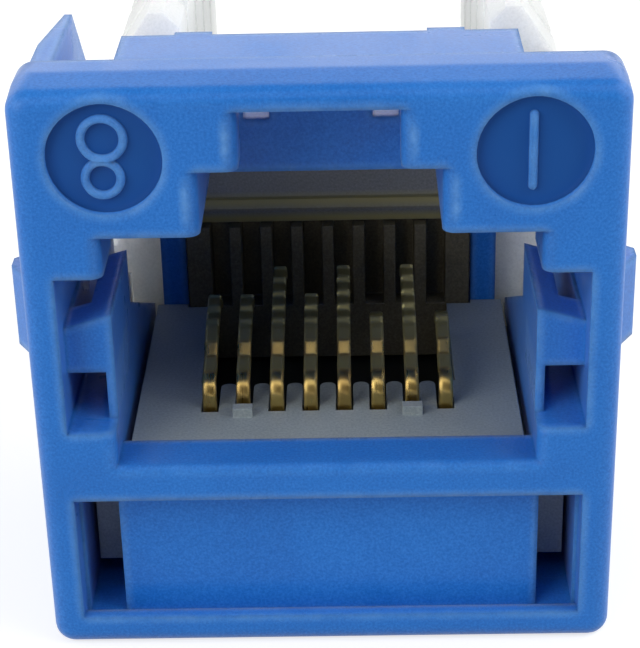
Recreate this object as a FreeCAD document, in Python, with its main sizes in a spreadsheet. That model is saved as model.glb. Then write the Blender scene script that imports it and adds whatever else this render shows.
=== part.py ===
import FreeCAD, Part
import Sketcher
import os
from types import SimpleNamespace

# Snap-in 8-position jack. X runs right, Y back from the plug side, Z up from the underside.
# Below, a depth is counted back from the front face and a height up from the underside.

# Driving dimensions in millimetres, one cell of the sheet each.
SIZES = {
    "overall_depth": 30.0,
    "fit_gap": 0.05,
    # Flange, seen from the front
    "face_width": 16.45,
    "face_height": 17.47,
    "flange_depth": 2.3,
    "face_corner": 0.6,
    "face_edge": 0.5,
    "crown_length": 1.35,
    "crown_drop": 0.2,
    "mouth_round": 0.35,
    "sill_round": 0.25,
    # Plug port
    "port_width": 11.9,
    "port_drop": 4.25,
    "port_height": 7.15,
    "port_depth": 11.2,
    "port_back_wall": 0.8,
    "port_back_inset": 0.4,
    "lip_depth": 1.65,
    "lip_thickness": 1.05,
    # Keyway for the plug's latch
    "key_width": 6.5,
    "key_slot_width": 4.3,
    "key_slot_height": 1.66,
    "key_roof": 0.74,
    "key_front_wall": 1.3,
    "key_depth": 3.8,
    "key_back_wall": 0.7,
    "key_hole_inner": 1.45,
    "key_hole_width": 0.73,
    "key_hole_rise": 0.09,
    "key_hole_height": 0.9,
    "channel_rise": 0.35,
    # Roof over the port
    "roof_width": 11.05,
    "roof_drop": 0.05,
    "roof_plate": 0.85,
    "roof_tab_inner": 3.0,
    "roof_tab_width": 1.05,
    "roof_tab_height": 0.6,
    "roof_tab_length": 0.25,
    # Side walls of the port, stepped and then sloping down to the back
    "side_wall": 0.7,
    "side_wall_reach": 5.5,
    "side_wall_step": 1.75,
    "side_wall_end": 0.55,
    # Lock-in pockets beside the port
    "pocket_web": 0.925,
    "pocket_rise": 1.13,
    "pocket_height": 4.81,
    "pocket_mouth": 1.0,
    "lug_rise": 1.47,
    "lug_height": 1.8,
    "lug_slope": 0.4,
    "recess_depth": 4.3,
    "recess_floor": 0.8,
    "recess_web": 0.25,
    # Number recesses
    "disc_offset": 5.68,
    "disc_drop": 2.01,
    "disc_radius": 1.56,
    "disc_depth": 0.25,
    # Marker window under the port
    "window_inset": 0.935,
    "window_bottom": 0.99,
    "slot_width": 1.07,
    "slot_inset": 0.1,
    "panel_setback": 0.87,
    "groove_start": 0.45,
    "groove_drop": 0.3,
    # Side plates, base plate and side bumps
    "plate_inset": 0.42,
    "plate_thickness": 0.6,
    "wing_drop": 0.1,
    "wing_bevel": 5.2,
    "wing_taper_start": 4.0,
    "wing_taper_end": 6.9,
    "wing_tip": 0.2,
    "plain_plate_drop": 4.2,
    "base_thickness": 0.68,
    "bump_bottom": 9.22,
    "bump_height": 2.45,
    "bump_rise": 0.5,
    "bump_start": 1.0,
    "bump_crest": 0.5,
    "bump_ramp": 0.8,
    # Snap windows in the side plates
    "snap_inset": 4.0,
    "snap_length": 1.8,
    "snap_bottom": 5.1,
    "snap_height": 1.5,
    # Contact sled
    "tray_drop": 0.15,
    "tray_thickness": 1.05,
    "tray_gap": 0.2,
    "skirt_gap": 0.15,
    "skirt_lift": 0.72,
    "skirt_setback": 0.3,
    "skirt_wall": 0.4,
    "comb_slot": 0.52,
    "comb_length": 1.5,
    "comb_round": 0.24,
    "well_margin": 0.1,
    "stud_width": 0.6,
    "stud_lead": 0.7,
    "stud_length": 0.35,
    "stud_height": 0.3,
    # Spring contacts
    "contact_pitch": 1.016,
    "contact_width": 0.42,
    "contact_thickness": 0.3,
    "contact_setback": 0.9,
    "contact_knee": 0.75,
    "contact_step": 1.2,
    "contact_step_height": 0.98,
    "contact_step_length": 0.3,
    "contact_step_rise": 0.3,
    "contact_slope": 0.2,
    "contact_tip_gap": 1.65,
    "contact_middle_gap": 3.1,
    "contact_short_gap": 4.1,
    "contact_hook": 0.5,
    "contact_hook_drop": 0.4,
    "contact_bend": 0.35,
    "contact_tail": 0.4,
    # Rear comb and the bar over it
    "guide_margin": 0.75,
    "guide_reach": 0.25,
    "guide_height": 2.85,
    "guide_slot": 0.62,
    "guide_slot_depth": 0.8,
    "bar_height": 2.2,
    "bar_ledge": 1.15,
    "bar_slope": 0.6,
    "bar_step": 0.12,
    "bar_reach": 0.35,
    # Circuit board, narrow between the sled's sides and wide under the posts
    "board_width": 11.0,
    "board_rim": 0.135,
    "board_share": 0.6646,
    "board_thickness": 1.0,
    "board_inset": 1.4,
    "board_hole": 0.4,
    "board_gap": 0.15,
    # Rear block with two rows of wire posts
    "rear_round": 0.6,
    "trough_floor": 7.7,
    "trough_wall": 0.8,
    "trough_wall_height": 5.0,
    "row_inset": 0.55,
    "row_shift": 0.36,
    "row_ledge": 0.7,
    "post_width": 2.3,
    "post_drop": 1.72,
    "post_bevel": 0.5,
    "post_flat": 0.5,
    "post_slope": 1.9,
    "wire_slot": 0.7,
    "wire_slot_rise": 2.1,
    "wire_slot_flare": 0.55,
    "wire_slot_lead": 1.3,
    "arm_gap": 0.1,
    "arm_lead": 1.0,
    "nub_rise": 0.6,
    # Wire terminals
    "blade_width": 2.2,
    "blade_thickness": 0.45,
    "blade_drop": 2.0,
    "blade_lift": 0.4,
    "blade_gap": 0.1,
    "pin_width": 0.5,
    "fork_gap": 0.4,
    "fork_length": 3.2,
}

CONTACTS = 8
STUDDED_CONTACTS = (2, 7)
LONG_CONTACTS = (2, 4, 6)
SHORT_CONTACTS = (1, 3)
POSTS_PER_ROW = 5
CLEAR_PAST = 1.0
TOUCH = 1e-4


class Size:
    """A length together with the sheet expression that gives it."""

    def __init__(self, value, text):
        self.value = value
        self.text = text

    def __add__(self, other):
        other = as_size(other)
        return Size(self.value + other.value, f"({self.text} + {other.text})")

    def __sub__(self, other):
        other = as_size(other)
        return Size(self.value - other.value, f"({self.text} - {other.text})")

    def __rsub__(self, other):
        return as_size(other) - self

    def __mul__(self, other):
        other = as_size(other)
        return Size(self.value * other.value, f"({self.text} * {other.text})")

    def __truediv__(self, other):
        other = as_size(other)
        return Size(self.value / other.value, f"({self.text} / {other.text})")

    def __neg__(self):
        return Size(-self.value, f"(0 - {self.text})")

    __radd__ = __add__
    __rmul__ = __mul__


def as_size(item):
    return item if isinstance(item, Size) else Size(float(item), repr(float(item)))


doc = FreeCAD.newDocument("jack")
sheet = doc.addObject("Spreadsheet::Sheet", "sizes")
for row, (alias, number) in enumerate(SIZES.items(), start=1):
    sheet.set(f"A{row}", alias)
    sheet.set(f"B{row}", str(number))
    sheet.setAlias(f"B{row}", alias)
doc.recompute()
s = SimpleNamespace(**{alias: Size(number, f"sizes.{alias}") for alias, number in SIZES.items()})


def contact_x(number):
    """Contact 1 is at the right, seen from the front."""
    return s.contact_pitch * ((CONTACTS + 1) / 2 - number)


# Half widths that several pieces share
half_face = s.face_width / 2
port_half = s.port_width / 2
tunnel_half = port_half + s.side_wall
pocket_half = half_face - s.pocket_web
window_half = half_face - s.window_inset
plate_outer = half_face - s.plate_inset
plate_inner = plate_outer - s.plate_thickness
sled_half = port_half - s.tray_gap
board_half = s.board_width / 2
back_half = port_half - s.port_back_inset
well_half = contact_x(1) + s.comb_slot / 2 + s.well_margin
guide_half = well_half + s.guide_margin
row_outer = plate_outer - s.row_inset
row_inner = row_outer - s.post_width
row_ridge = row_inner + s.post_bevel + s.post_flat / 2
board_wide_half = row_ridge + s.row_shift + s.board_hole + s.board_rim

# Shared depths
tunnel_depth = s.port_depth + s.port_back_wall
snap_start = tunnel_depth - s.snap_inset
sled_front = s.lip_depth + s.fit_gap
sled_back = s.port_depth - s.fit_gap
skirt_front = s.flange_depth + s.skirt_setback
skirt_inside = skirt_front + s.skirt_wall
contact_root = skirt_inside + s.contact_setback
stud_front = contact_root - s.stud_lead
comb_edge = contact_root + s.comb_length
guide_front = s.port_depth - s.guide_reach
rear_front = tunnel_depth + s.fit_gap
board_back = s.overall_depth - s.board_inset
post_pitch = (s.overall_depth - rear_front - s.row_ledge) / POSTS_PER_ROW

# Shared heights
port_ceiling = s.face_height - s.port_drop
port_floor = port_ceiling - s.port_height
lip_underside = port_floor - s.lip_thickness
key_slot_top = s.face_height - s.key_roof
key_shoulder = key_slot_top - s.key_slot_height
pocket_bottom = port_floor + s.pocket_rise
lug_bottom = pocket_bottom + s.lug_rise
lug_top = lug_bottom + s.lug_height
pocket_top = pocket_bottom + s.pocket_height
tray_top = port_floor - s.tray_drop
tray_heel = tray_top - s.tray_thickness
guide_top = tray_top + s.guide_height
bar_bottom = guide_top + s.fit_gap
bar_top = bar_bottom + s.bar_height
board_room = tray_heel - s.base_thickness - s.board_thickness
board_bottom = s.base_thickness + board_room * s.board_share
board_top = board_bottom + s.board_thickness
post_top = s.face_height - s.post_drop
blade_top = post_top - s.blade_drop


def new_body(label):
    body = doc.addObject("PartDesign::Body", label)
    body.Label = label
    body.setExpression("Placement.Base.y", (-s.overall_depth / 2).text)
    return body


def sketch(body, name, plane, offset):
    drawing = body.newObject("Sketcher::SketchObject", name)
    support = next(item for item in body.Origin.OriginFeatures if item.Role == plane)
    drawing.AttachmentSupport = [(support, "")]
    drawing.MapMode = "FlatFace"
    drawing.setExpression("AttachmentOffset.Base.z", as_size(offset).text)
    return drawing


def front(body, name, depth):
    """A drawing in X and height, at a depth behind the front face."""
    return sketch(body, name, "XZ_Plane", -as_size(depth))


def side(body, name, x=0):
    """A drawing in depth and height, at a place along X."""
    return sketch(body, name, "YZ_Plane", x)


def plan(body, name, height):
    """A drawing in X and depth, at a height."""
    return sketch(body, name, "XY_Plane", height)


def bind(drawing, kind, geometry, point, size):
    index = drawing.addConstraint(Sketcher.Constraint(kind, geometry, point, size.value))
    drawing.setExpression(f"Constraints[{index}]", size.text)


def polygon(drawing, points):
    points = [(as_size(across), as_size(up)) for across, up in points]
    first = drawing.GeometryCount
    count = len(points)
    corners = [FreeCAD.Vector(across.value, up.value, 0) for across, up in points]
    for number in range(count):
        drawing.addGeometry(Part.LineSegment(corners[number], corners[(number + 1) % count]))
    for number in range(count):
        following = first + (number + 1) % count
        drawing.addConstraint(Sketcher.Constraint("Coincident", first + number, 2, following, 1))
    for number, (across, up) in enumerate(points):
        bind(drawing, "DistanceX", first + number, 1, across)
        bind(drawing, "DistanceY", first + number, 1, up)


def mirrored(drawing, points):
    """A loop and its mirror image across X = 0."""
    polygon(drawing, points)
    polygon(drawing, [(-as_size(across), up) for across, up in reversed(points)])


def box_points(left, right, bottom, top):
    return [(left, bottom), (right, bottom), (right, top), (left, top)]


def rectangle(drawing, left, right, bottom, top):
    polygon(drawing, box_points(left, right, bottom, top))


def circle(drawing, across, up, radius):
    across, up = as_size(across), as_size(up)
    centre = FreeCAD.Vector(across.value, up.value, 0)
    ring = drawing.addGeometry(Part.Circle(centre, FreeCAD.Vector(0, 0, 1), radius.value))
    bind(drawing, "DistanceX", ring, 3, across)
    bind(drawing, "DistanceY", ring, 3, up)
    index = drawing.addConstraint(Sketcher.Constraint("Radius", ring, radius.value))
    drawing.setExpression(f"Constraints[{index}]", radius.text)


def extrude(kind, body, drawing, length, symmetric):
    feature = body.newObject(kind, f"{drawing.Name}_{kind.rsplit(':')[-1].lower()}")
    feature.Profile = drawing
    feature.setExpression("Length", as_size(length).text)
    if symmetric:
        feature.SideType = "Symmetric"
    body.Tip = feature
    return feature


def pad(body, drawing, length, symmetric=False):
    """Add material: back from a front drawing, along +X or up from the others."""
    feature = extrude("PartDesign::Pad", body, drawing, length, symmetric)
    feature.Reversed = "XZ_Plane" in drawing.AttachmentSupport[0][0].Role
    return feature


def pocket(body, drawing, length, symmetric=False):
    """Cut material: back from a front drawing, along -X or down from the others."""
    return extrude("PartDesign::Pocket", body, drawing, length, symmetric)


def soften(body, name, radius, wanted, kind="PartDesign::Fillet"):
    """Round or bevel the edges of the body's last feature whose bounding box the test accepts."""
    doc.recompute()
    base = body.Tip
    chosen = []
    for number, edge in enumerate(base.Shape.Edges, start=1):
        if wanted(edge.BoundBox):
            chosen.append(f"Edge{number}")
    feature = body.newObject(kind, name)
    feature.Base = (base, chosen)
    feature.setExpression("Radius" if kind.endswith("Fillet") else "Size", radius.text)
    body.Tip = feature
    return feature


def runs_along(box, axis):
    spans = {"x": box.XLength, "y": box.YLength, "z": box.ZLength}
    return all(length < TOUCH for name, length in spans.items() if name != axis)


def near(value, size):
    return abs(value - as_size(size).value) < TOUCH


def wire_slot_depth(number):
    """Middle of a row's wire slot, counted from the front."""
    return rear_front + post_pitch * number - s.wire_slot / 2


def terminal_place(number):
    """X and depth of a wire terminal; the first four are in the right-hand row."""
    slots = POSTS_PER_ROW - 1
    x = row_ridge if number <= slots else -row_ridge
    return x + s.row_shift, wire_slot_depth((number - 1) % slots + 1)


def front_housing():
    body = new_body("front_housing")
    face = front(body, "face", 0)
    rectangle(face, -half_face, half_face, 0, s.face_height)
    pad(body, face, s.flange_depth)

    crown = side(body, "crown")
    polygon(crown, [(0, s.face_height - s.crown_drop), (s.crown_length, s.face_height),
                    (s.crown_length, s.face_height + CLEAR_PAST), (-CLEAR_PAST, s.face_height + CLEAR_PAST),
                    (-CLEAR_PAST, s.face_height - s.crown_drop)])
    pocket(body, crown, s.face_width + CLEAR_PAST, symmetric=True)

    def at_corner(box):
        outermost = box.ZMin < TOUCH or near(box.ZMax, s.face_height)
        return outermost and box.XLength < TOUCH and box.YLength > TOUCH
    soften(body, "face_corners", s.face_corner, at_corner)
    soften(body, "face_rim", s.face_edge, lambda box: box.YMax < TOUCH)

    # Side plates with their snap windows, and the base plate between them
    wing_top = s.face_height - s.wing_drop
    plain_top = s.face_height - s.plain_plate_drop
    wing = [(tunnel_depth, wing_top - s.wing_bevel), (tunnel_depth - s.wing_bevel, wing_top),
            (s.flange_depth, wing_top)]
    plain = [(tunnel_depth, plain_top), (s.flange_depth, plain_top)]
    for name, left, top in (("plain_plate", plate_inner, plain), ("wing_plate", -plate_outer, wing)):
        outline = side(body, name, left)
        polygon(outline, [(s.flange_depth, 0), (tunnel_depth, 0)] + top)
        rectangle(outline, snap_start, snap_start + s.snap_length,
                  s.snap_bottom, s.snap_bottom + s.snap_height)
        pad(body, outline, s.plate_thickness)
    taper = plan(body, "wing_taper", wing_top)
    wing_side, wing_tip, past = -plate_outer, -plate_inner - s.wing_tip, -plate_outer - CLEAR_PAST
    polygon(taper, [(wing_side, s.wing_taper_start), (wing_tip, s.wing_taper_end),
                    (wing_tip, tunnel_depth + CLEAR_PAST), (past, tunnel_depth + CLEAR_PAST),
                    (past, s.wing_taper_start)])
    pocket(body, taper, wing_top - plain_top)
    base = front(body, "base", s.flange_depth)
    rectangle(base, -plate_outer, plate_outer, 0, s.base_thickness)
    pad(body, base, tunnel_depth - s.flange_depth)
    bumps = plan(body, "bumps", s.bump_bottom)
    crest = half_face + s.bump_rise
    crest_start = s.bump_start + s.bump_ramp
    crest_end = crest_start + s.bump_crest
    mirrored(bumps, [(plate_inner, s.bump_start), (half_face, s.bump_start), (crest, crest_start),
                     (crest, crest_end), (plate_outer, crest_end + s.bump_ramp),
                     (plate_inner, crest_end + s.bump_ramp)])
    pad(body, bumps, s.bump_height)

    # Roof block over the keyway, the thinner roof behind it and the port's side walls
    block = front(body, "roof_block", s.flange_depth)
    block_top = s.face_height - s.roof_drop
    block_back = s.key_depth + s.key_back_wall
    roof_half = s.roof_width / 2
    rectangle(block, -roof_half, roof_half, port_ceiling, block_top)
    pad(body, block, block_back - s.flange_depth)
    tabs = front(body, "roof_tabs", block_back)
    mirrored(tabs, box_points(s.roof_tab_inner, s.roof_tab_inner + s.roof_tab_width,
                              block_top - s.roof_tab_height, block_top))
    pad(body, tabs, s.roof_tab_length)
    roof = front(body, "roof", s.flange_depth)
    rectangle(roof, -roof_half, roof_half, port_ceiling, port_ceiling + s.roof_plate)
    pad(body, roof, tunnel_depth - s.flange_depth)
    walls = side(body, "port_walls")
    polygon(walls, [(s.flange_depth, lip_underside), (tunnel_depth, lip_underside),
                    (tunnel_depth, lip_underside + s.side_wall_end),
                    (s.side_wall_reach, lug_top - s.side_wall_step),
                    (s.side_wall_reach, lug_top), (s.flange_depth, lug_top)])
    pad(body, walls, tunnel_half * 2, symmetric=True)
    shelves = front(body, "recess_shelves", s.flange_depth)
    mirrored(shelves, box_points(port_half, plate_inner + s.fit_gap,
                                 pocket_bottom - s.recess_floor, pocket_bottom))
    pad(body, shelves, s.recess_depth - s.flange_depth)

    # Port, the sled's bed in its floor, and the keyway with its latch pocket
    port = front(body, "port", 0)
    rectangle(port, -port_half, port_half, port_floor, port_ceiling)
    pocket(body, port, tunnel_depth)
    bed = front(body, "sled_bed", s.lip_depth)
    rectangle(bed, -port_half, port_half, lip_underside, port_floor)
    pocket(body, bed, tunnel_depth - s.lip_depth)
    key = front(body, "keyway", 0)
    wide, narrow = s.key_width / 2, s.key_slot_width / 2
    polygon(key, [(-wide, port_floor), (wide, port_floor), (wide, key_shoulder),
                  (narrow, key_shoulder), (narrow, key_slot_top), (-narrow, key_slot_top),
                  (-narrow, key_shoulder), (-wide, key_shoulder)])
    pocket(body, key, s.key_depth)
    catch = front(body, "latch_pocket", s.key_front_wall)
    rectangle(catch, -wide, wide, port_floor, key_slot_top)
    pocket(body, catch, s.key_depth - s.key_front_wall)
    channel = front(body, "ceiling_channel", s.key_depth)
    rectangle(channel, -wide, wide, port_ceiling - s.fit_gap, port_ceiling + s.channel_rise)
    pocket(body, channel, s.port_depth - s.key_depth)
    holes = front(body, "key_holes", s.key_depth)
    hole_bottom = key_shoulder + s.key_hole_rise
    mirrored(holes, box_points(s.key_hole_inner, s.key_hole_inner + s.key_hole_width,
                               hole_bottom, hole_bottom + s.key_hole_height))
    pocket(body, holes, s.key_back_wall)

    # Back wall of the port, open in the middle for the rear comb
    back = front(body, "port_back", s.port_depth)
    rectangle(back, -back_half, back_half, lip_underside, port_ceiling)
    pad(body, back, s.port_back_wall)
    comb = front(body, "guide_opening", s.port_depth)
    comb_half = guide_half + s.fit_gap
    rectangle(comb, -comb_half, comb_half, lip_underside, bar_top + s.fit_gap)
    pocket(body, comb, s.port_back_wall)

    # Lock-in pockets: shallow all over, open above the sloping lug and wall, and long below the lug
    shallow = front(body, "pocket_mouths", 0)
    mirrored(shallow, box_points(port_half - s.fit_gap, pocket_half, pocket_bottom, pocket_top))
    pocket(body, shallow, s.pocket_mouth)
    through = front(body, "pocket_holes", 0)
    mirrored(through, [(port_half - s.fit_gap, lug_top), (pocket_half, lug_top - s.lug_slope),
                       (pocket_half, pocket_top), (port_half - s.fit_gap, pocket_top)])
    pocket(body, through, s.side_wall_reach)
    deeper = front(body, "pocket_recesses", 0)
    mirrored(deeper, box_points(port_half + s.recess_web, pocket_half, pocket_bottom, lug_bottom))
    pocket(body, deeper, s.recess_depth)

    # Marker window, its through slots and the number recesses
    window = front(body, "marker_window", 0)
    rectangle(window, -window_half, window_half, s.window_bottom, lip_underside)
    pocket(body, window, s.panel_setback)
    groove = front(body, "marker_groove", s.groove_start)
    groove_bottom = s.window_bottom - s.groove_drop
    rectangle(groove, -window_half, window_half, groove_bottom, s.window_bottom + s.fit_gap)
    pocket(body, groove, s.panel_setback - s.groove_start)
    slots = front(body, "marker_slots", s.groove_start)
    slot_outer = window_half - s.slot_inset
    mirrored(slots, box_points(slot_outer - s.slot_width, slot_outer, groove_bottom, lip_underside))
    pocket(body, slots, s.flange_depth - s.groove_start)
    discs = front(body, "number_recesses", 0)
    disc_height = s.face_height - s.disc_drop
    circle(discs, s.disc_offset, disc_height, s.disc_radius)
    circle(discs, -s.disc_offset, disc_height, s.disc_radius)
    pocket(body, discs, s.disc_depth)

    # Rounded uprights at the mouth of the port and keyway, and its rounded sill
    def at_mouth(box):
        return runs_along(box, "z") and box.YMax < TOUCH and abs(box.XMin) < port_half.value + TOUCH

    def at_sill(box):
        return runs_along(box, "x") and box.YMax < TOUCH and near(box.ZMin, port_floor)
    soften(body, "mouth_uprights", s.mouth_round, at_mouth)
    soften(body, "mouth_sill", s.sill_round, at_sill)
    return body


def contact_sled():
    body = new_body("contact_sled")
    tray = side(body, "tray")
    heel = s.flange_depth + s.tray_gap
    tray_bottom = lip_underside + s.tray_gap
    polygon(tray, [(sled_front, tray_bottom), (heel, tray_bottom), (heel, tray_heel),
                   (sled_back, tray_heel), (sled_back, tray_top), (sled_front, tray_top)])
    pad(body, tray, sled_half * 2, symmetric=True)
    skirt_bottom = s.base_thickness + s.skirt_lift
    skirt = plan(body, "skirt", skirt_bottom)
    outer, inner = plate_inner - s.skirt_gap, board_half + s.board_gap
    polygon(skirt, [(-outer, skirt_front), (outer, skirt_front), (outer, sled_back), (inner, sled_back),
                    (inner, skirt_inside), (-inner, skirt_inside), (-inner, sled_back), (-outer, sled_back)])
    pad(body, skirt, tray_heel + s.fit_gap - skirt_bottom)

    # Well under the contacts, and the comb they stand in
    tray_cut = s.tray_thickness + s.fit_gap
    well = plan(body, "well", tray_top)
    rectangle(well, -well_half, well_half, comb_edge, sled_back + CLEAR_PAST)
    pocket(body, well, tray_cut)
    comb_bed = plan(body, "comb_bed", tray_top)
    comb_half = guide_half + s.fit_gap
    rectangle(comb_bed, -comb_half, comb_half, guide_front - s.fit_gap, sled_back + CLEAR_PAST)
    pocket(body, comb_bed, tray_cut)
    slots = plan(body, "comb_slots", tray_top)
    for number in range(1, CONTACTS + 1):
        middle = contact_x(number)
        rectangle(slots, middle - s.comb_slot / 2, middle + s.comb_slot / 2,
                  contact_root - s.contact_thickness, comb_edge + s.fit_gap)
    pocket(body, slots, tray_cut)
    outermost = contact_x(1).value

    def at_tooth_tip(box):
        return runs_along(box, "z") and near(box.YMin, comb_edge) and abs(box.XMin) < outermost
    soften(body, "tooth_tips", s.comb_round, at_tooth_tip)
    studs = plan(body, "studs", tray_top)
    for number in STUDDED_CONTACTS:
        middle = contact_x(number)
        rectangle(studs, middle - s.stud_width / 2, middle + s.stud_width / 2,
                  stud_front, stud_front + s.stud_length)
    pad(body, studs, s.stud_height)
    return body


def plug_contact(number):
    """A strip that stands in the board, bends back over the well and hooks down at its free end."""
    body = new_body(f"plug_contact_{number}")
    body.setExpression("Placement.Base.x", contact_x(number).text)
    tip_gap = s.contact_middle_gap
    if number in LONG_CONTACTS:
        tip_gap = s.contact_tip_gap
    elif number in SHORT_CONTACTS:
        tip_gap = s.contact_short_gap
    half = s.contact_thickness / 2
    knee = tray_top + s.contact_knee
    step, step_height = contact_root + s.contact_step, tray_top + s.contact_step_height
    crest, crest_height = step + s.contact_step_length, step_height + s.contact_step_rise
    tip = guide_front - tip_gap
    tip_height = crest_height + s.contact_slope * (tip - crest)
    knee_inside = (contact_root + half, knee - half)
    knee_outside = (contact_root - half, knee + half)
    tip_over = (tip, tip_height + half)
    hook, drop = tip + s.contact_hook, tip_height - s.contact_hook_drop
    strip = side(body, f"strip_{number}")
    foot = board_bottom - s.contact_tail
    polygon(strip, [(contact_root - half, foot), (contact_root + half, foot), knee_inside,
                    (step + half, step_height - half), (crest + half, crest_height - half),
                    (tip - half, tip_height - half), (hook - half, drop - half), (hook + half, drop),
                    tip_over, (crest, crest_height + half), (step, step_height + half), knee_outside])
    pad(body, strip, s.contact_width, symmetric=True)

    def at_point(depth, height):
        return lambda box: runs_along(box, "x") and near(box.YMin, depth) and near(box.ZMin, height)
    soften(body, f"inner_bend_{number}", s.contact_bend, at_point(*knee_inside))
    soften(body, f"outer_bend_{number}", s.contact_bend + s.contact_thickness, at_point(*knee_outside))
    soften(body, f"tip_bend_{number}", s.contact_bend, at_point(*tip_over))
    return body


def contact_guide():
    """The dark comb that the contacts' free ends dip into."""
    body = new_body("contact_guide")
    block = front(body, "guide_block", guide_front)
    rectangle(block, -guide_half, guide_half, board_top + s.board_gap, guide_top)
    pad(body, block, tunnel_depth - guide_front)
    slots = front(body, "guide_slots", guide_front)
    for number in range(1, CONTACTS + 1):
        middle = contact_x(number)
        rectangle(slots, middle - s.guide_slot / 2, middle + s.guide_slot / 2,
                  tray_top, guide_top + CLEAR_PAST)
    pocket(body, slots, s.guide_slot_depth)
    return body


def guide_bar():
    """The bar over the comb, stepped back under a ledge and sloping away to its foot."""
    body = new_body("guide_bar")
    outline = side(body, "bar_outline")
    brow = s.port_depth - s.bar_reach
    waist = brow + s.bar_step
    ledge = bar_top - s.bar_ledge
    slope = bar_bottom + s.bar_slope
    polygon(outline, [(tunnel_depth, bar_bottom), (waist + s.bar_slope / 2, bar_bottom), (waist, slope),
                      (waist, ledge - s.bar_step), (brow, ledge), (brow, bar_top), (tunnel_depth, bar_top)])
    pad(body, outline, guide_half * 2, symmetric=True)
    return body


def circuit_board():
    body = new_body("circuit_board")
    outline = plan(body, "board_outline", board_bottom)
    board_front = skirt_inside + s.tray_gap
    shoulder = rear_front + s.board_gap
    polygon(outline, [(-board_half, board_front), (board_half, board_front), (board_half, shoulder),
                      (board_wide_half, shoulder), (board_wide_half, board_back),
                      (-board_wide_half, board_back), (-board_wide_half, shoulder), (-board_half, shoulder)])
    for number in range(1, CONTACTS + 1):
        circle(outline, contact_x(number), contact_root, s.board_hole)
        circle(outline, *terminal_place(number), s.board_hole)
    pad(body, outline, s.board_thickness)
    return body


def terminal_housing():
    body = new_body("terminal_housing")
    block = front(body, "block", rear_front)
    rectangle(block, -plate_outer, plate_outer, 0, s.trough_floor)
    pad(body, block, s.overall_depth - rear_front)
    soften(body, "block_edges", s.rear_round, lambda box: runs_along(box, "y"))

    # Rows of pointed posts beside the cable trough, parted by flared wire slots
    rows = front(body, "post_rows", rear_front)
    foot = s.trough_floor - s.rear_round
    ridge_half = s.post_flat / 2
    section = [(row_inner, foot), (row_outer, foot), (row_outer, post_top - s.post_slope),
               (row_ridge + ridge_half, post_top), (row_ridge - ridge_half, post_top),
               (row_inner, post_top - s.post_bevel)]
    polygon(rows, [(s.row_shift + across, up) for across, up in section])
    polygon(rows, [(s.row_shift - across, up) for across, up in reversed(section)])
    pad(body, rows, post_pitch * POSTS_PER_ROW - s.wire_slot)
    wall = front(body, "trough_wall", rear_front)
    wall_half = plate_inner - s.arm_gap
    rectangle(wall, -wall_half, wall_half, foot, s.trough_floor + s.trough_wall_height)
    pad(body, wall, s.trough_wall)
    slots = side(body, "wire_slots")
    half = s.wire_slot / 2
    flared = half + s.wire_slot_flare
    floor, lead, past = s.trough_floor + s.wire_slot_rise, post_top - s.wire_slot_lead, post_top + s.fit_gap
    for number in range(1, POSTS_PER_ROW):
        middle = wire_slot_depth(number)
        polygon(slots, [(middle - half, floor), (middle + half, floor), (middle + half, lead),
                        (middle + flared, past), (middle - flared, past), (middle - half, lead)])
    pocket(body, slots, (plate_outer + CLEAR_PAST) * 2, symmetric=True)

    # Bed of the circuit board, and the slits that its terminals stand up through
    bed = front(body, "board_bed", rear_front)
    bed_half = board_wide_half + s.board_gap
    rectangle(bed, -bed_half, bed_half, board_bottom - s.contact_tail - s.board_gap, board_top + s.board_gap)
    pocket(body, bed, board_back + s.board_gap - rear_front)
    slits = plan(body, "blade_slits", blade_top + s.blade_gap)
    across = s.blade_thickness / 2 + s.blade_gap
    along = s.blade_width / 2 + s.blade_gap
    for number in range(1, CONTACTS + 1):
        x, depth = terminal_place(number)
        rectangle(slits, x - across, x + across, depth - along, depth + along)
    pocket(body, slits, blade_top + s.blade_gap - board_top)

    # Arms that reach into the front housing and snap into its side plates
    arm_front = snap_start - s.arm_lead
    arm_outer = plate_inner - s.arm_gap
    arms = front(body, "arms", arm_front)
    mirrored(arms, box_points(tunnel_half + s.fit_gap, arm_outer,
                              s.snap_bottom - s.arm_gap, s.snap_bottom + s.snap_height + s.arm_gap))
    pad(body, arms, rear_front - arm_front)
    nubs = plan(body, "nubs", s.snap_bottom + s.arm_gap)
    nub_back = snap_start + s.snap_length - s.arm_gap
    mirrored(nubs, [(arm_outer, snap_start + s.arm_gap), (arm_outer + s.nub_rise, nub_back),
                    (arm_outer, nub_back)])
    pad(body, nubs, s.snap_height - s.arm_gap * 2)
    return body


def wire_terminal(number):
    """An upright blade with a fork for the wire, on a pin through the board."""
    body = new_body(f"wire_terminal_{number}")
    x, depth = terminal_place(number)
    body.setExpression("Placement.Base.x", x.text)
    pin, wide, throat, mouth = s.pin_width / 2, s.blade_width / 2, s.fork_gap / 2, s.fork_gap
    shoulder = board_top + s.blade_lift
    tip = board_bottom - s.contact_tail
    right_half = [(pin, tip), (pin, shoulder), (wide, shoulder), (wide, blade_top), (mouth, blade_top),
                  (throat, blade_top - s.fork_gap), (throat, blade_top - s.fork_length)]
    left_half = [(-along, height) for along, height in reversed(right_half)]
    blade = side(body, f"blade_{number}")
    polygon(blade, [(depth + along, height) for along, height in right_half + left_half])
    pad(body, blade, s.blade_thickness, symmetric=True)
    return body


pieces = [front_housing(), contact_sled(), contact_guide(), guide_bar(), circuit_board(), terminal_housing()]
pieces += [plug_contact(number) for number in range(1, CONTACTS + 1)]
pieces += [wire_terminal(number) for number in range(1, CONTACTS + 1)]
doc.recompute()

for item in doc.Objects:
    if "Invalid" in item.State or "Error" in item.State:
        raise RuntimeError(f"{item.Label} failed: {item.State}")
for piece in pieces:
    if piece.Shape.isNull() or not piece.Shape.isValid() or len(piece.Shape.Solids) != 1:
        raise RuntimeError(f"{piece.Label} has no single valid solid")

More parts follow.
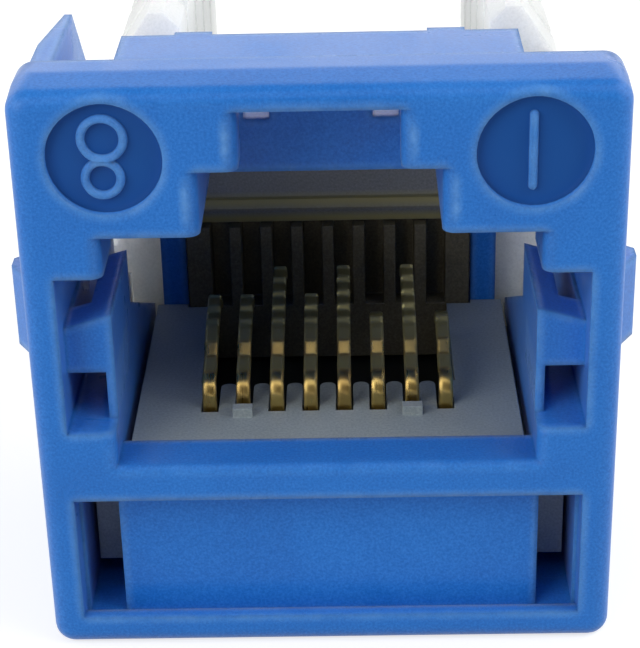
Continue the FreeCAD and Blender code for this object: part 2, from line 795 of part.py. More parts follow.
os.makedirs("parts", exist_ok=True)
for piece in pieces:
    piece.Shape.exportStep(os.path.join("parts", f"{piece.Label}.step"))
    print(f"{piece.Label}: {piece.Shape.Volume:.2f} mm3")
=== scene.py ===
import math
import bmesh
import bpy
from mathutils import Matrix, Vector


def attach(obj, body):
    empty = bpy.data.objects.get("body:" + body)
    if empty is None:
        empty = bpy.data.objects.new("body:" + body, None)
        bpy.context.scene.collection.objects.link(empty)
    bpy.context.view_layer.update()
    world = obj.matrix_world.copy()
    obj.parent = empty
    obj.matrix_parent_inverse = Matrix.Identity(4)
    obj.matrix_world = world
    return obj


# Looks of a snap-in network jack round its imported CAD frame. Metres, +Y back from the plug side, +Z up.

MM = 0.001
HALF_DEPTH = 15.0
CONTACT_COUNT = 8
FULL_TURN = 2.0 * math.pi
WHITE = (1.0, 1.0, 1.0, 1.0)

# Camera fitted to the photograph
PHOTO_HEIGHT = 648.0
FOCAL_PIXELS = 1930.367
SENSOR = 36.0
CAMERA_PLACE = Vector((0.914, -62.316, 33.878)) * MM
CAMERA_PITCH = math.radians(26.211)
CAMERA_YAW = math.radians(-1.217)
CAMERA_ROLL = math.radians(1.451)
CAMERA_NEAR = 1.0 * MM
CAMERA_FAR = 10.0

# Studio. Lamps look at LIT_POINT (across, depth and height in millimetres); each has its azimuth and
# elevation in degrees, its width and height in metres, and its radiance.
LIT_POINT = (0.0, 5.0, 8.0)
LAMP_DISTANCE = 0.3
SOFT_BOXES = (
    ("front_left_box", -44.0, 26.0, (0.2, 0.24), 3.1),
    ("left_box", -95.0, 18.0, (0.36, 0.17), 1.7),
    ("right_box", 88.0, 32.0, (0.36, 0.34), 2.35),
    ("top_box", 18.0, 62.0, (0.26, 0.13), 1.35),
    ("back_box", 180.0, 22.0, (0.7, 0.15), 1.8),
)
WORLD_LEVEL = 0.085
FLOOR_SIZE = 2.0
FLOOR_GLOW = 0.68
FLOOR_ROUGHNESS = 0.9
FLOOR_SPECULAR = 0.1

# Noise: the span of its values that counts, and the swing that the span becomes
NOISE_SPAN = (0.3, 0.7)
SWING = 0.5
FLOW_IN_TONE = 0.4
TONE_REACH = 0.8

# Grain of mouldings and of the board, and how far flow marks move a moulding's roughness
MOULDING_GRAIN_SCALE = 13000.0
BOARD_GRAIN_SCALE = 5000.0
GRAIN_STRENGTH = 0.12
GRAIN_HEIGHT = 0.02 * MM
ROUGHNESS_DRIFT = 0.07
SHEEN_ROUGHNESS = 0.35

# Light scattered inside the white moulding
SCATTER_RADIUS = (1.0, 0.95, 0.9)
SCATTER_SCALE = 3.0 * MM

# Dust: how far a face looks up, and its specks
UPWARD_SPAN = (0.35, 1.0)
SPECK_SPAN = (0.42, 0.72)
SPECK_LEAST = 0.25

# Edges and bends rounded in the shading
SOFT_EDGE = 0.3 * MM
SOFT_BEND = 0.12 * MM
ROUNDING_SAMPLES = 4

# Edges turned pale, partly wear and partly a painted highlight: how deep the solid is felt behind the
# surface, what counts as thin, and the noise that breaks them up
EDGE_REACH = 0.3 * MM
EDGE_SAMPLES = 3
THIN_SPAN = (0.55, 0.92)
BREAKUP_SPAN = (0.35, 0.65)
EDGE_SCUFF_LEAST = 0.45
EDGE_WEAR_AND_HIGHLIGHT = 0.5
EDGE_POLISH = 0.08

# A painted highlight along the uprights of the mouth: |x| of the line, and the heights it runs between;
# its half width, soft side, faded ends and depth behind the front face, all in millimetres
MOUTH_LINES = ((2.47, 15.15, 16.6), (3.6, 13.4, 15.0))
MOUTH_LINE_HALF = 0.02
MOUTH_LINE_SOFT = 0.19
MOUTH_LINE_FADE = 0.45
MOUTH_HIGHLIGHT_DEPTH = 0.3
MOUTH_BREAKUP_SCALE = 2600.0
MOUTH_BREAKUP_LEAST = 0.35
MOUTH_HIGHLIGHT = 0.55

# Where the number recesses' floors lie (centre and reach in |x|, y and z), which a darker colour paints in
# shade, and how much rougher they are
NUMBER_FLOOR = ((5.68 * MM, 1.6 * MM), (-14.75 * MM, 0.04 * MM), (15.46 * MM, 1.6 * MM))
FLOOR_MATT = 0.25

# The bar's painted highlights along its ledges: height, half width and soft side in millimetres
BAR_LEDGE_HIGHLIGHTS = ((9.68, 0.06, 0.34), (8.96, 0.05, 0.28))

# A contact's painted highlights at its bends (depth, half length and soft end in millimetres) and the
# ripples near its tip
GLINT_BANDS = ((3.9, 0.3, 0.25), (5.25, 0.08, 0.24))
RIPPLE_START = 6.0
RIPPLE_PITCH = 0.72 * MM
RIPPLE_HEIGHT = 0.12 * MM
RIPPLE_STRENGTH = 1.0

# Plated metal: wiping marks stretched along the strip, tarnish, and the duller, less metallic plating
# between the painted highlights
WIPE_STRETCH = (1.0, 0.06, 0.06)
WIPE_ROUGHNESS = (-0.06, 0.08)
WIPE_STRENGTH = 0.1
WIPE_HEIGHT = 0.01 * MM
TARNISH_SPAN = (0.4, 0.7)
TARNISH_SHARE = 0.7
DULL_METALLIC = 0.7
DULL_ROUGHNESS = 0.1

# The board's tracks
TRACK_SCALE = 310.0
TRACK_WANDER = 1.5
TRACK_SPAN = (0.72, 0.8)
TRACK_SHARE = 0.6
TRACK_STRENGTH = 0.15
TRACK_HEIGHT = 0.02 * MM
BOARD_TONE_SHARE = 0.25
BOARD_ROUGHNESS = 0.32

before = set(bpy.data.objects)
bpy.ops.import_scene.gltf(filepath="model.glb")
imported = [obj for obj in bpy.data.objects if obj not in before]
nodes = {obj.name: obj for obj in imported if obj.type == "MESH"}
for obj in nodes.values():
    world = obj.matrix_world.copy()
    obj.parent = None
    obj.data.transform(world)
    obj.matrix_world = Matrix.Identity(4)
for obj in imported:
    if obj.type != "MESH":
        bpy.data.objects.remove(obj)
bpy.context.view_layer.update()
scene = bpy.context.scene


def place(x, depth, height):
    """A point from millimetres: across, back from the front face, up from the underside."""
    return Vector((x, depth - HALF_DEPTH, height)) * MM


def srgb(red, green, blue):
    """A colour written as 0 to 255, as the renderer's linear colour."""
    def linear(level):
        level /= 255.0
        return level / 12.92 if level <= 0.04045 else ((level + 0.055) / 1.055) ** 2.4
    return linear(red), linear(green), linear(blue), 1.0


# Shader nodes

def feed(tree, item, socket):
    """Links a node's output to a socket, or sets the socket to a plain value."""
    if hasattr(item, "is_linked"):
        tree.links.new(item, socket)
    else:
        socket.default_value = item


def add_node(tree, kind, **settings):
    """A node with its inputs or its own settings filled in by name."""
    node = tree.nodes.new(kind)
    for name, value in settings.items():
        if name in node.inputs:
            node.inputs[name].default_value = value
        else:
            setattr(node, name, value)
    return node


def remap(tree, value, from_low, from_high, to_low, to_high):
    node = tree.nodes.new("ShaderNodeMapRange")
    node.inputs["From Min"].default_value = from_low
    node.inputs["From Max"].default_value = from_high
    node.inputs["To Min"].default_value = to_low
    node.inputs["To Max"].default_value = to_high
    tree.links.new(value, node.inputs["Value"])
    return node.outputs["Result"]


def math_node(tree, operation, *values):
    node = tree.nodes.new("ShaderNodeMath")
    node.operation = operation
    for socket, item in zip(node.inputs, values):
        feed(tree, item, socket)
    return node.outputs["Value"]


def mix_colour(tree, factor, first, second):
    node = tree.nodes.new("ShaderNodeMix")
    node.data_type = "RGBA"
    for label, item in (("Factor_Float", factor), ("A_Color", first), ("B_Color", second)):
        feed(tree, item, next(each for each in node.inputs if each.identifier == label))
    return next(each for each in node.outputs if each.identifier == "Result_Color")


def noise(tree, where, scale, detail, roughness, distortion=0.0):
    node = add_node(tree, "ShaderNodeTexNoise", Detail=detail, Roughness=roughness, Distortion=distortion)
    tree.links.new(where, node.inputs["Vector"])
    feed(tree, scale, node.inputs["Scale"])
    return node.outputs["Fac"]


def object_place(tree):
    """Object coordinates, whole and as three axes."""
    where = tree.nodes.new("ShaderNodeTexCoord").outputs["Object"]
    axes = tree.nodes.new("ShaderNodeSeparateXYZ")
    tree.links.new(where, axes.inputs["Vector"])
    return where, axes.outputs


def soft_bands(tree, value, bands):
    """A mask that is 1 within each band; a band is its middle, half width and soft end in metres."""
    mask = 0.0
    for middle, half, soft in bands:
        away = math_node(tree, "ABSOLUTE", math_node(tree, "SUBTRACT", value, middle))
        mask = math_node(tree, "MAXIMUM", mask, remap(tree, away, half, half + soft, 1.0, 0.0))
    return mask


# Shader node groups

def new_group(name, inputs, outputs):
    """A group whose sockets are all plain values; inputs come with their defaults."""
    group = bpy.data.node_groups.new(name, "ShaderNodeTree")
    for label, value in inputs.items():
        socket = group.interface.new_socket(label, in_out="INPUT", socket_type="NodeSocketFloat")
        socket.default_value = value
    for label in outputs:
        group.interface.new_socket(label, in_out="OUTPUT", socket_type="NodeSocketFloat")
    return group, group.nodes.new("NodeGroupInput"), group.nodes.new("NodeGroupOutput")


def moulded_grain_group():
    """Fine spark-eroded grain with slow flow marks, in Object coordinates."""
    group, start, end = new_group(
        "moulded_grain", {"Grain Scale": 9000.0, "Flow Scale": 260.0}, ["Height", "Tone", "Sheen Break"])
    where = group.nodes.new("ShaderNodeTexCoord").outputs["Object"]
    grain = noise(group, where, start.outputs["Grain Scale"], 3.0, 0.6)
    flow = noise(group, where, start.outputs["Flow Scale"], 4.0, 0.55, distortion=0.8)
    speckle = remap(group, grain, *NOISE_SPAN, -SWING, SWING)
    drift = remap(group, flow, *NOISE_SPAN, -SWING, SWING)
    tone = math_node(group, "ADD", speckle, math_node(group, "MULTIPLY", drift, FLOW_IN_TONE))
    group.links.new(grain, end.inputs["Height"])
    group.links.new(tone, end.inputs["Tone"])
    group.links.new(drift, end.inputs["Sheen Break"])
    return group


def settled_dust_group():
    """Where dust settles: faces that look up, broken by specks."""
    group, start, end = new_group("settled_dust", {"Amount": 0.2, "Speck Scale": 2500.0}, ["Mask"])
    where = group.nodes.new("ShaderNodeTexCoord").outputs["Object"]
    normal = group.nodes.new("ShaderNodeNewGeometry").outputs["Normal"]
    facing = group.nodes.new("ShaderNodeSeparateXYZ")
    group.links.new(normal, facing.inputs["Vector"])
    upward = remap(group, facing.outputs["Z"], *UPWARD_SPAN, 0.0, 1.0)
    specks = noise(group, where, start.outputs["Speck Scale"], 5.0, 0.65)
    broken = remap(group, specks, *SPECK_SPAN, SPECK_LEAST, 1.0)
    settled = math_node(group, "MULTIPLY", upward, broken)
    group.links.new(math_node(group, "MULTIPLY", settled, start.outputs["Amount"]), end.inputs["Mask"])
    return group


def rubbed_metal_group():
    """Wiping marks along the strip, and tarnish in soft patches."""
    group, start, end = new_group(
        "rubbed_metal", {"Wipe Scale": 6000.0, "Tarnish Scale": 900.0}, ["Wipe", "Tarnish"])
    where = group.nodes.new("ShaderNodeTexCoord").outputs["Object"]
    along = add_node(group, "ShaderNodeMapping", Scale=WIPE_STRETCH)
    group.links.new(where, along.inputs["Vector"])
    wipe = noise(group, along.outputs["Vector"], start.outputs["Wipe Scale"], 3.0, 0.6)
    tarnish = noise(group, where, start.outputs["Tarnish Scale"], 4.0, 0.6)
    group.links.new(wipe, end.inputs["Wipe"])
    group.links.new(remap(group, tarnish, *TARNISH_SPAN, 0.0, 1.0), end.inputs["Tarnish"])
    return group


def edge_wear_highlight_group():
    """Outer edges turned pale, partly by wear and partly as a painted highlight: where the solid is thin
    behind the surface, broken up by noise.
    """
    group, start, end = new_group("edge_wear_and_highlight", {"Scuff Scale": 1800.0}, ["Mask"])
    where = group.nodes.new("ShaderNodeTexCoord").outputs["Object"]
    thin = add_node(group, "ShaderNodeAmbientOcclusion", samples=EDGE_SAMPLES, inside=True,
                    only_local=True, Distance=EDGE_REACH)
    edge = remap(group, thin.outputs["AO"], *THIN_SPAN, 1.0, 0.0)
    breakup_noise = noise(group, where, start.outputs["Scuff Scale"], 3.0, 0.6)
    broken = remap(group, breakup_noise, *BREAKUP_SPAN, EDGE_SCUFF_LEAST, 1.0)
    group.links.new(math_node(group, "MULTIPLY", edge, broken), end.inputs["Mask"])
    return group


def mouth_highlight_group():
    """A painted highlight in lines along the uprights of the mouth, at the front of their rounding."""
    group, _, end = new_group("mouth_painted_highlight", {}, ["Mask"])
    where, axes = object_place(group)
    across = math_node(group, "ABSOLUTE", axes["X"])
    mask = 0.0
    for line, low, high in MOUTH_LINES:
        beside = soft_bands(group, across, [(line * MM, MOUTH_LINE_HALF * MM, MOUTH_LINE_SOFT * MM)])
        middle, half = (low + high) / 2, (high - low) / 2 - MOUTH_LINE_FADE
        along = soft_bands(group, axes["Z"], [(middle * MM, half * MM, MOUTH_LINE_FADE * MM)])
        mask = math_node(group, "MAXIMUM", mask, math_node(group, "MULTIPLY", beside, along))
    front = place(0.0, 0.0, 0.0).y
    near = remap(group, axes["Y"], front, front + MOUTH_HIGHLIGHT_DEPTH * MM, 1.0, 0.0)
    breakup_noise = noise(group, where, MOUTH_BREAKUP_SCALE, 4.0, 0.65)
    broken = remap(group, breakup_noise, *BREAKUP_SPAN, MOUTH_BREAKUP_LEAST, 1.0)
    mask = math_node(group, "MULTIPLY", math_node(group, "MULTIPLY", mask, near), broken)
    group.links.new(mask, end.inputs["Mask"])
    return group


def number_recess_shade_group():
    """The floors of the two number recesses, found by their place, where a darker colour paints shade."""
    group, _, end = new_group("number_recess_painted_shade", {}, ["Mask"])
    _, axes = object_place(group)
    across = math_node(group, "ABSOLUTE", axes["X"])
    mask = 1.0
    for value, (centre, reach) in zip((across, axes["Y"], axes["Z"]), NUMBER_FLOOR):
        mask = math_node(group, "MULTIPLY", mask, math_node(group, "COMPARE", value, centre, reach))
    group.links.new(mask, end.inputs["Mask"])
    return group


def contact_glint_and_ripple_group():
    """Painted highlights at the bends of a contact, and the ripples pressed in near its tip."""
    group, _, end = new_group("contact_painted_glint_and_ripple", {}, ["Bright", "Ripple"])
    _, axes = object_place(group)
    glints = [(place(0.0, depth, 0.0).y, half * MM, soft * MM) for depth, half, soft in GLINT_BANDS]
    group.links.new(soft_bands(group, axes["Y"], glints), end.inputs["Bright"])
    turn = math_node(group, "MULTIPLY", axes["Y"], FULL_TURN / RIPPLE_PITCH)
    first = place(0.0, RIPPLE_START, 0.0).y
    pressed = remap(group, axes["Y"], first, first + RIPPLE_PITCH, 0.0, 1.0)
    ripple = math_node(group, "MULTIPLY", math_node(group, "SINE", turn), pressed)
    group.links.new(ripple, end.inputs["Ripple"])
    return group


def bar_highlights_group():
    """Pale olive painted highlights along the ledges of the bar over the comb, by height."""
    group, _, end = new_group("bar_ledge_painted_highlights", {}, ["Mask"])
    _, axes = object_place(group)
    highlights = [(height * MM, half * MM, soft * MM) for height, half, soft in BAR_LEDGE_HIGHLIGHTS]
    group.links.new(soft_bands(group, axes["Z"], highlights), end.inputs["Mask"])
    return group


MOULDED_GRAIN = moulded_grain_group()
SETTLED_DUST = settled_dust_group()
RUBBED_METAL = rubbed_metal_group()
EDGE_WEAR_HIGHLIGHT_MASK = edge_wear_highlight_group()
MOUTH_HIGHLIGHT_MASK = mouth_highlight_group()
NUMBER_RECESS_SHADE_MASK = number_recess_shade_group()
CONTACT_GLINT_AND_RIPPLE = contact_glint_and_ripple_group()
BAR_HIGHLIGHT_MASK = bar_highlights_group()


# Materials

def new_material(name):
    material = bpy.data.materials.new(name)
    material.use_nodes = True
    return material, material.node_tree, material.node_tree.nodes["Principled BSDF"]


def use_group(tree, group, **values):
    node = tree.nodes.new("ShaderNodeGroup")
    node.node_tree = group
    for name, value in values.items():
        node.inputs[name.replace("_", " ")].default_value = value
    return node


def bump(tree, height, bsdf, strength, distance):
    node = add_node(tree, "ShaderNodeBump", Strength=strength, Distance=distance)
    tree.links.new(height, node.inputs["Height"])
    tree.links.new(node.outputs["Normal"], bsdf.inputs["Normal"])
    return node


def round_under(tree, bumped, radius):
    """Rounds edges in the shading, beneath a bump."""
    rounded = add_node(tree, "ShaderNodeBevel", samples=ROUNDING_SAMPLES, Radius=radius)
    tree.links.new(rounded.outputs["Normal"], bumped.inputs["Normal"])


DUST_COLOUR = srgb(214, 214, 210)


def moulded_plastic(name, body, shade, bright, roughness, specular, dust, see_in=0.0, sheen=0.0,
                    floor=None, wear_and_highlight=None, ledge_highlight=None, soft_edge=0.0):
    """Satin moulded plastic: body colour drifting to a shade and a bright, with grain and a little dust.

    Colours that only some mouldings have: a painted shade on the floors of the number recesses, edges
    turned pale by wear and a painted highlight, a painted highlight along the uprights of the mouth, and
    painted highlights along the bar's ledges.
    """
    material, tree, bsdf = new_material(name)
    grain = use_group(tree, MOULDED_GRAIN, Grain_Scale=MOULDING_GRAIN_SCALE)
    tone = grain.outputs["Tone"]
    colour = mix_colour(tree, remap(tree, tone, -TONE_REACH, 0.0, 1.0, 0.0), body, shade)
    colour = mix_colour(tree, remap(tree, tone, 0.0, TONE_REACH, 0.0, 1.0), colour, bright)
    dusty = use_group(tree, SETTLED_DUST, Amount=dust).outputs["Mask"]
    colour = mix_colour(tree, dusty, colour, DUST_COLOUR)
    rough = remap(tree, grain.outputs["Sheen Break"], -SWING, SWING,
                  roughness - ROUGHNESS_DRIFT, roughness + ROUGHNESS_DRIFT)
    # A darker colour on the number recesses' floors paints their shade.
    if floor:
        shaded_recess = use_group(tree, NUMBER_RECESS_SHADE_MASK).outputs["Mask"]
        colour = mix_colour(tree, shaded_recess, colour, floor)
        rough = math_node(tree, "ADD", rough, math_node(tree, "MULTIPLY", shaded_recess, FLOOR_MATT))
    # Painted highlights along the bar's ledges.
    if ledge_highlight:
        colour = mix_colour(tree, use_group(tree, BAR_HIGHLIGHT_MASK).outputs["Mask"], colour, ledge_highlight)
    # Edges turn pale partly by wear and partly by a painted highlight; the uprights of the mouth get a
    # painted highlight only.
    if wear_and_highlight:
        edges = use_group(tree, EDGE_WEAR_HIGHLIGHT_MASK).outputs["Mask"]
        mouth = use_group(tree, MOUTH_HIGHLIGHT_MASK).outputs["Mask"]
        worn = math_node(tree, "MAXIMUM", math_node(tree, "MULTIPLY", edges, EDGE_WEAR_AND_HIGHLIGHT),
                         math_node(tree, "MULTIPLY", mouth, MOUTH_HIGHLIGHT))
        colour = mix_colour(tree, worn, colour, wear_and_highlight)
        rough = math_node(tree, "SUBTRACT", rough, math_node(tree, "MULTIPLY", edges, EDGE_POLISH))
    tree.links.new(colour, bsdf.inputs["Base Color"])
    tree.links.new(rough, bsdf.inputs["Roughness"])
    bsdf.inputs["Sheen Weight"].default_value = sheen
    bsdf.inputs["Sheen Roughness"].default_value = SHEEN_ROUGHNESS
    bsdf.inputs["Specular IOR Level"].default_value = specular
    bsdf.inputs["Subsurface Weight"].default_value = see_in
    bsdf.inputs["Subsurface Radius"].default_value = SCATTER_RADIUS
    bsdf.inputs["Subsurface Scale"].default_value = SCATTER_SCALE
    grained = bump(tree, grain.outputs["Height"], bsdf, GRAIN_STRENGTH, GRAIN_HEIGHT)
    if soft_edge:
        round_under(tree, grained, soft_edge)
    return material


def plated_metal(name, clean, worn, roughness, dull=None):
    """Plated metal with wiping marks; dull is the colour between the painted highlights at a contact's
    bends.
    """
    material, tree, bsdf = new_material(name)
    marks = use_group(tree, RUBBED_METAL)
    tarnished = remap(tree, marks.outputs["Tarnish"], 0.0, 1.0, 0.0, TARNISH_SHARE)
    colour = mix_colour(tree, tarnished, clean, worn)
    bsdf.inputs["Metallic"].default_value = 1.0
    wiping = remap(tree, marks.outputs["Wipe"], *NOISE_SPAN, *WIPE_ROUGHNESS)
    rough = math_node(tree, "ADD", wiping, roughness)
    wiped = bump(tree, marks.outputs["Wipe"], bsdf, WIPE_STRENGTH, WIPE_HEIGHT)
    if dull:
        pressed = use_group(tree, CONTACT_GLINT_AND_RIPPLE)
        glints = pressed.outputs["Bright"]
        colour = mix_colour(tree, glints, dull, colour)
        tree.links.new(remap(tree, glints, 0.0, 1.0, DULL_METALLIC, 1.0), bsdf.inputs["Metallic"])
        rough = math_node(tree, "ADD", rough, remap(tree, glints, 0.0, 1.0, DULL_ROUGHNESS, 0.0))
        ripples = bump(tree, pressed.outputs["Ripple"], bsdf, RIPPLE_STRENGTH, RIPPLE_HEIGHT)
        tree.links.new(wiped.outputs["Normal"], ripples.inputs["Normal"])
        round_under(tree, wiped, SOFT_BEND)
    tree.links.new(colour, bsdf.inputs["Base Color"])
    tree.links.new(rough, bsdf.inputs["Roughness"])
    return material


def board_lacquer():
    """Dark solder resist with copper tracks showing faintly through it."""
    material, tree, bsdf = new_material("board_lacquer")
    grain = use_group(tree, MOULDED_GRAIN, Grain_Scale=BOARD_GRAIN_SCALE)
    where = tree.nodes.new("ShaderNodeTexCoord").outputs["Object"]
    tracks = add_node(tree, "ShaderNodeTexWave", Scale=TRACK_SCALE, Distortion=TRACK_WANDER, Detail=1.0,
                      bands_direction="X")
    tree.links.new(where, tracks.inputs["Vector"])
    copper = remap(tree, tracks.outputs["Fac"], *TRACK_SPAN, 0.0, TRACK_SHARE)
    colour = mix_colour(tree, copper, srgb(24, 28, 26), srgb(44, 48, 42))
    tone = remap(tree, grain.outputs["Tone"], -TONE_REACH, TONE_REACH, 0.0, BOARD_TONE_SHARE)
    colour = mix_colour(tree, tone, colour, srgb(14, 16, 15))
    tree.links.new(colour, bsdf.inputs["Base Color"])
    bsdf.inputs["Roughness"].default_value = BOARD_ROUGHNESS
    bump(tree, tracks.outputs["Fac"], bsdf, TRACK_STRENGTH, TRACK_HEIGHT)
    return material


# The pale colour at edges and in the mouth is partly edge wear and partly a painted highlight; the floor
# colour paints shade in the number recesses.
blue_moulding = moulded_plastic(
    "blue_moulding", body=srgb(36, 118, 208), shade=srgb(18, 99, 189), bright=srgb(56, 135, 223),
    roughness=0.33, specular=0.28, dust=0.02, sheen=0.15, soft_edge=SOFT_EDGE,
    floor=srgb(6, 77, 152), wear_and_highlight=srgb(124, 182, 240))
white_moulding = moulded_plastic(
    "white_moulding", body=srgb(233, 236, 234), shade=srgb(221, 224, 222), bright=srgb(242, 244, 242),
    roughness=0.5, specular=0.4, dust=0.04, see_in=1.0)
# The sled is white plastic; this grey copy of the white moulding paints it in shade.
sled_in_painted_shade = moulded_plastic(
    "sled_in_painted_shade", body=srgb(152, 162, 164), shade=srgb(132, 142, 144), bright=srgb(172, 181, 182),
    roughness=0.5, specular=0.4, dust=0.04)
# The comb's dark colour paints the shade under the bar.
comb_in_painted_shade = moulded_plastic(
    "comb_in_painted_shade", body=srgb(98, 91, 71), shade=srgb(76, 70, 54), bright=srgb(120, 112, 89),
    roughness=0.5, specular=0.35, dust=0.02)
# The pale olive lines along the bar are painted highlights on its ledges.
natural_moulding = moulded_plastic(
    "natural_moulding", body=srgb(138, 138, 134), shade=srgb(116, 116, 112), bright=srgb(158, 158, 152),
    roughness=0.42, specular=0.45, dust=0.03, ledge_highlight=srgb(180, 168, 112))
# The bright bands at the contacts' bends are painted highlights.
gold_plate = plated_metal(
    "gold_plate", clean=srgb(214, 184, 110), worn=srgb(166, 130, 76), roughness=0.3,
    dull=srgb(156, 148, 100))
tin_plate = plated_metal(
    "tin_plate", clean=srgb(206, 204, 198), worn=srgb(150, 148, 142), roughness=0.34)
lacquer = board_lacquer()


# CAD nodes: softened edges and finishes

WELD_REACH = 0.002 * MM
FLAT_ANGLE = math.radians(1.0)
SHARP_ANGLE = math.radians(40.0)
CONTACT_EDGE = 0.07 * MM
CONTACT_EDGE_SEGMENTS = 3
TERMINAL_EDGE = 0.03 * MM

# Each moulding's material and the width of its broken edges
MOULDINGS = (
    ("front_housing", blue_moulding, 0.07 * MM),
    ("terminal_housing", white_moulding, 0.08 * MM),
    ("contact_sled", sled_in_painted_shade, 0.04 * MM),
    ("contact_guide", comb_in_painted_shade, 0.04 * MM),
    ("guide_bar", natural_moulding, 0.04 * MM),
)


def break_edges(node, width, segments=2):
    """Welds the node's loose triangles, clears its flat faces and breaks its sharp edges."""
    weld = node.modifiers.new("weld", "WELD")
    weld.merge_threshold = WELD_REACH
    flats = node.modifiers.new("clear_flats", "DECIMATE")
    flats.decimate_type = "DISSOLVE"
    flats.angle_limit = FLAT_ANGLE
    edge = node.modifiers.new("broken_edge", "BEVEL")
    edge.width = width
    edge.segments = segments
    edge.limit_method = "ANGLE"
    edge.angle_limit = SHARP_ANGLE
    edge.harden_normals = True
    edge.use_clamp_overlap = True


def finish_node(name, material):
    node = nodes[name]
    node.data.materials.clear()
    node.data.materials.append(material)
    return node


for moulding, finish, edge_width in MOULDINGS:
    break_edges(finish_node(moulding, finish), edge_width)
finish_node("circuit_board", lacquer)
for number in range(1, CONTACT_COUNT + 1):
    break_edges(finish_node(f"plug_contact_{number}", gold_plate), CONTACT_EDGE, CONTACT_EDGE_SEGMENTS)
    break_edges(finish_node(f"wire_terminal_{number}", tin_plate), TERMINAL_EDGE)


# Raised figures in the round recesses, in millimetres: contact 8 at the left, contact 1 at the right

FIGURE_FLOOR = 0.26
FIGURE_RISE = 0.2
FIGURE_STROKE = 0.21

# Half widths of a stroke's foot and crown as shares of the stroke, the flat share of the crown, and the
# share of the rise where the crown's rounding starts
FOOT_SHARE = 0.62
CROWN_SHARE = 0.36
CROWN_FLAT = 0.6
CROWN_SHOULDER = 0.8

UPPER_RING = 0.67
UPPER_CENTRE = (-5.71, 15.98)
LOWER_RING = 0.58
LOWER_CENTRE = (-5.75, 14.87)
ONE_ACROSS = 5.63
ONE_BOTTOM = 14.46
ONE_TOP = 16.46
RING_STEPS = 40
END_STEPS = 12
DOUBLE_REACH = 1e-7


def finished_piece(name, bm, material, body):
    bmesh.ops.remove_doubles(bm, verts=bm.verts, dist=DOUBLE_REACH)
    bmesh.ops.recalc_face_normals(bm, faces=bm.faces)
    mesh = bpy.data.meshes.new(name)
    bm.to_mesh(mesh)
    bm.free()
    piece = bpy.data.objects.new(name, mesh)
    scene.collection.objects.link(piece)
    mesh.materials.append(material)
    for face in mesh.polygons:
        face.use_smooth = True
    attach(piece, body)


def stroke_section(bm, centre, radius, half=False):
    """A stroke's cross-section, or its outer half: drafted sides and a rounded crown."""
    foot, crown = FIGURE_STROKE * FOOT_SHARE, FIGURE_STROKE * CROWN_SHARE
    outer = [(0.0, -FIGURE_RISE), (crown * CROWN_FLAT, -FIGURE_RISE),
             (crown, -FIGURE_RISE * CROWN_SHOULDER), (foot, 0.0)]
    inner = [] if half else [(-across, rise) for across, rise in reversed(outer[1:])]
    verts = []
    for across, rise in inner + outer:
        verts.append(bm.verts.new(place(centre[0] + radius + across, FIGURE_FLOOR + rise, centre[1])))
    return verts, [bm.edges.new(pair) for pair in zip(verts, verts[1:])]


def turned_stroke(bm, centre, radius, angle, steps, half=False):
    """A stroke's section, or its outer half, turned about the centre: a ring or a rounded end."""
    verts, edges = stroke_section(bm, centre, radius, half)
    bmesh.ops.spin(bm, geom=verts + edges, cent=place(centre[0], FIGURE_FLOOR, centre[1]),
                   axis=(0.0, 1.0, 0.0), angle=angle, steps=steps, use_merge=angle == FULL_TURN)


def upright_stroke(bm, across, bottom, top):
    """A straight stroke with rounded ends."""
    _, edges = stroke_section(bm, (across, top), 0.0)
    drawn = bmesh.ops.extrude_edge_only(bm, edges=edges)["geom"]
    moved = [item for item in drawn if isinstance(item, bmesh.types.BMVert)]
    bmesh.ops.translate(bm, verts=moved, vec=(0.0, 0.0, (bottom - top) * MM))
    turned_stroke(bm, (across, top), 0.0, -math.pi, END_STEPS, half=True)
    turned_stroke(bm, (across, bottom), 0.0, math.pi, END_STEPS, half=True)


figure_eight = bmesh.new()
for outer_radius, middle_point in ((UPPER_RING, UPPER_CENTRE), (LOWER_RING, LOWER_CENTRE)):
    turned_stroke(figure_eight, middle_point, outer_radius - FIGURE_STROKE / 2, FULL_TURN, RING_STEPS)
finished_piece("figure_eight", figure_eight, blue_moulding, "jack")

figure_one = bmesh.new()
upright_stroke(figure_one, ONE_ACROSS, ONE_BOTTOM, ONE_TOP)
finished_piece("figure_one", figure_one, blue_moulding, "jack")


# Floor, light and camera

def studio_floor():
    """A pale floor that glows white to the camera and in reflections, and lights nothing by itself."""
    bm = bmesh.new()
    bmesh.ops.create_grid(bm, x_segments=1, y_segments=1, size=FLOOR_SIZE)
    mesh = bpy.data.meshes.new("studio_floor")
    bm.to_mesh(mesh)
    bm.free()
    floor = bpy.data.objects.new("studio_floor", mesh)
    scene.collection.objects.link(floor)
    material, tree, bsdf = new_material("pale_floor")
    bsdf.inputs["Base Color"].default_value = srgb(182, 182, 182)
    bsdf.inputs["Roughness"].default_value = FLOOR_ROUGHNESS
    bsdf.inputs["Specular IOR Level"].default_value = FLOOR_SPECULAR
    bsdf.inputs["Emission Color"].default_value = WHITE
    rays = tree.nodes.new("ShaderNodeLightPath")
    seen = math_node(tree, "MAXIMUM", rays.outputs["Is Camera Ray"], rays.outputs["Is Glossy Ray"])
    seen = math_node(tree, "MAXIMUM", seen, rays.outputs["Is Transmission Ray"])
    tree.links.new(math_node(tree, "MULTIPLY", seen, FLOOR_GLOW), bsdf.inputs["Emission Strength"])
    mesh.materials.append(material)


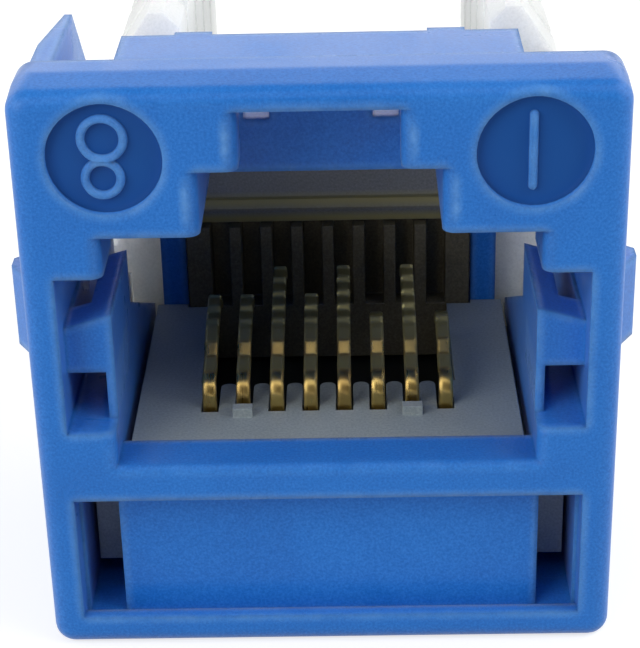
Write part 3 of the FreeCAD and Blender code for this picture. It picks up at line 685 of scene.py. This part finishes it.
def studio_world():
    world = bpy.data.worlds.new("studio")
    world.use_nodes = True
    scene.world = world
    back = world.node_tree.nodes["Background"]
    back.inputs["Color"].default_value = WHITE
    back.inputs["Strength"].default_value = WORLD_LEVEL


def soft_box(name, azimuth, elevation, size, radiance):
    """A flat lamp that looks at the jack; azimuth runs right from the camera's side, elevation up."""
    light = bpy.data.lights.new(name, "AREA")
    light.shape = "RECTANGLE"
    light.size, light.size_y = size
    light.energy = math.pi * size[0] * size[1] * radiance
    turn, lift = math.radians(azimuth), math.radians(elevation)
    level = math.cos(lift)
    towards = Vector((math.sin(turn) * level, -math.cos(turn) * level, math.sin(lift)))
    lamp = bpy.data.objects.new(name, light)
    lamp.location = place(*LIT_POINT) + towards * LAMP_DISTANCE
    lamp.rotation_mode = "QUATERNION"
    lamp.rotation_quaternion = towards.to_track_quat("Z", "Y")
    scene.collection.objects.link(lamp)


def photo_camera():
    pitch_cos, pitch_sin = math.cos(CAMERA_PITCH), math.sin(CAMERA_PITCH)
    yaw_cos, yaw_sin = math.cos(CAMERA_YAW), math.sin(CAMERA_YAW)
    roll_cos, roll_sin = math.cos(CAMERA_ROLL), math.sin(CAMERA_ROLL)
    forward = Vector((yaw_sin * pitch_cos, yaw_cos * pitch_cos, -pitch_sin))
    level = Vector((yaw_cos, -yaw_sin, 0.0))
    down = forward.cross(level)
    right = roll_cos * level + roll_sin * down
    up = roll_sin * level - roll_cos * down
    camera = bpy.data.cameras.new("photo_camera")
    camera.sensor_fit = "AUTO"
    camera.sensor_width = SENSOR
    camera.lens = FOCAL_PIXELS * SENSOR / PHOTO_HEIGHT
    camera.clip_start = CAMERA_NEAR
    camera.clip_end = CAMERA_FAR
    holder = bpy.data.objects.new("photo_camera", camera)
    turn = Matrix((right, up, -forward)).transposed().to_4x4()
    holder.matrix_world = Matrix.Translation(CAMERA_PLACE) @ turn
    scene.collection.objects.link(holder)
    scene.camera = holder


studio_floor()
studio_world()
for box in SOFT_BOXES:
    soft_box(*box)
photo_camera()
scene.view_settings.view_transform = "Standard"
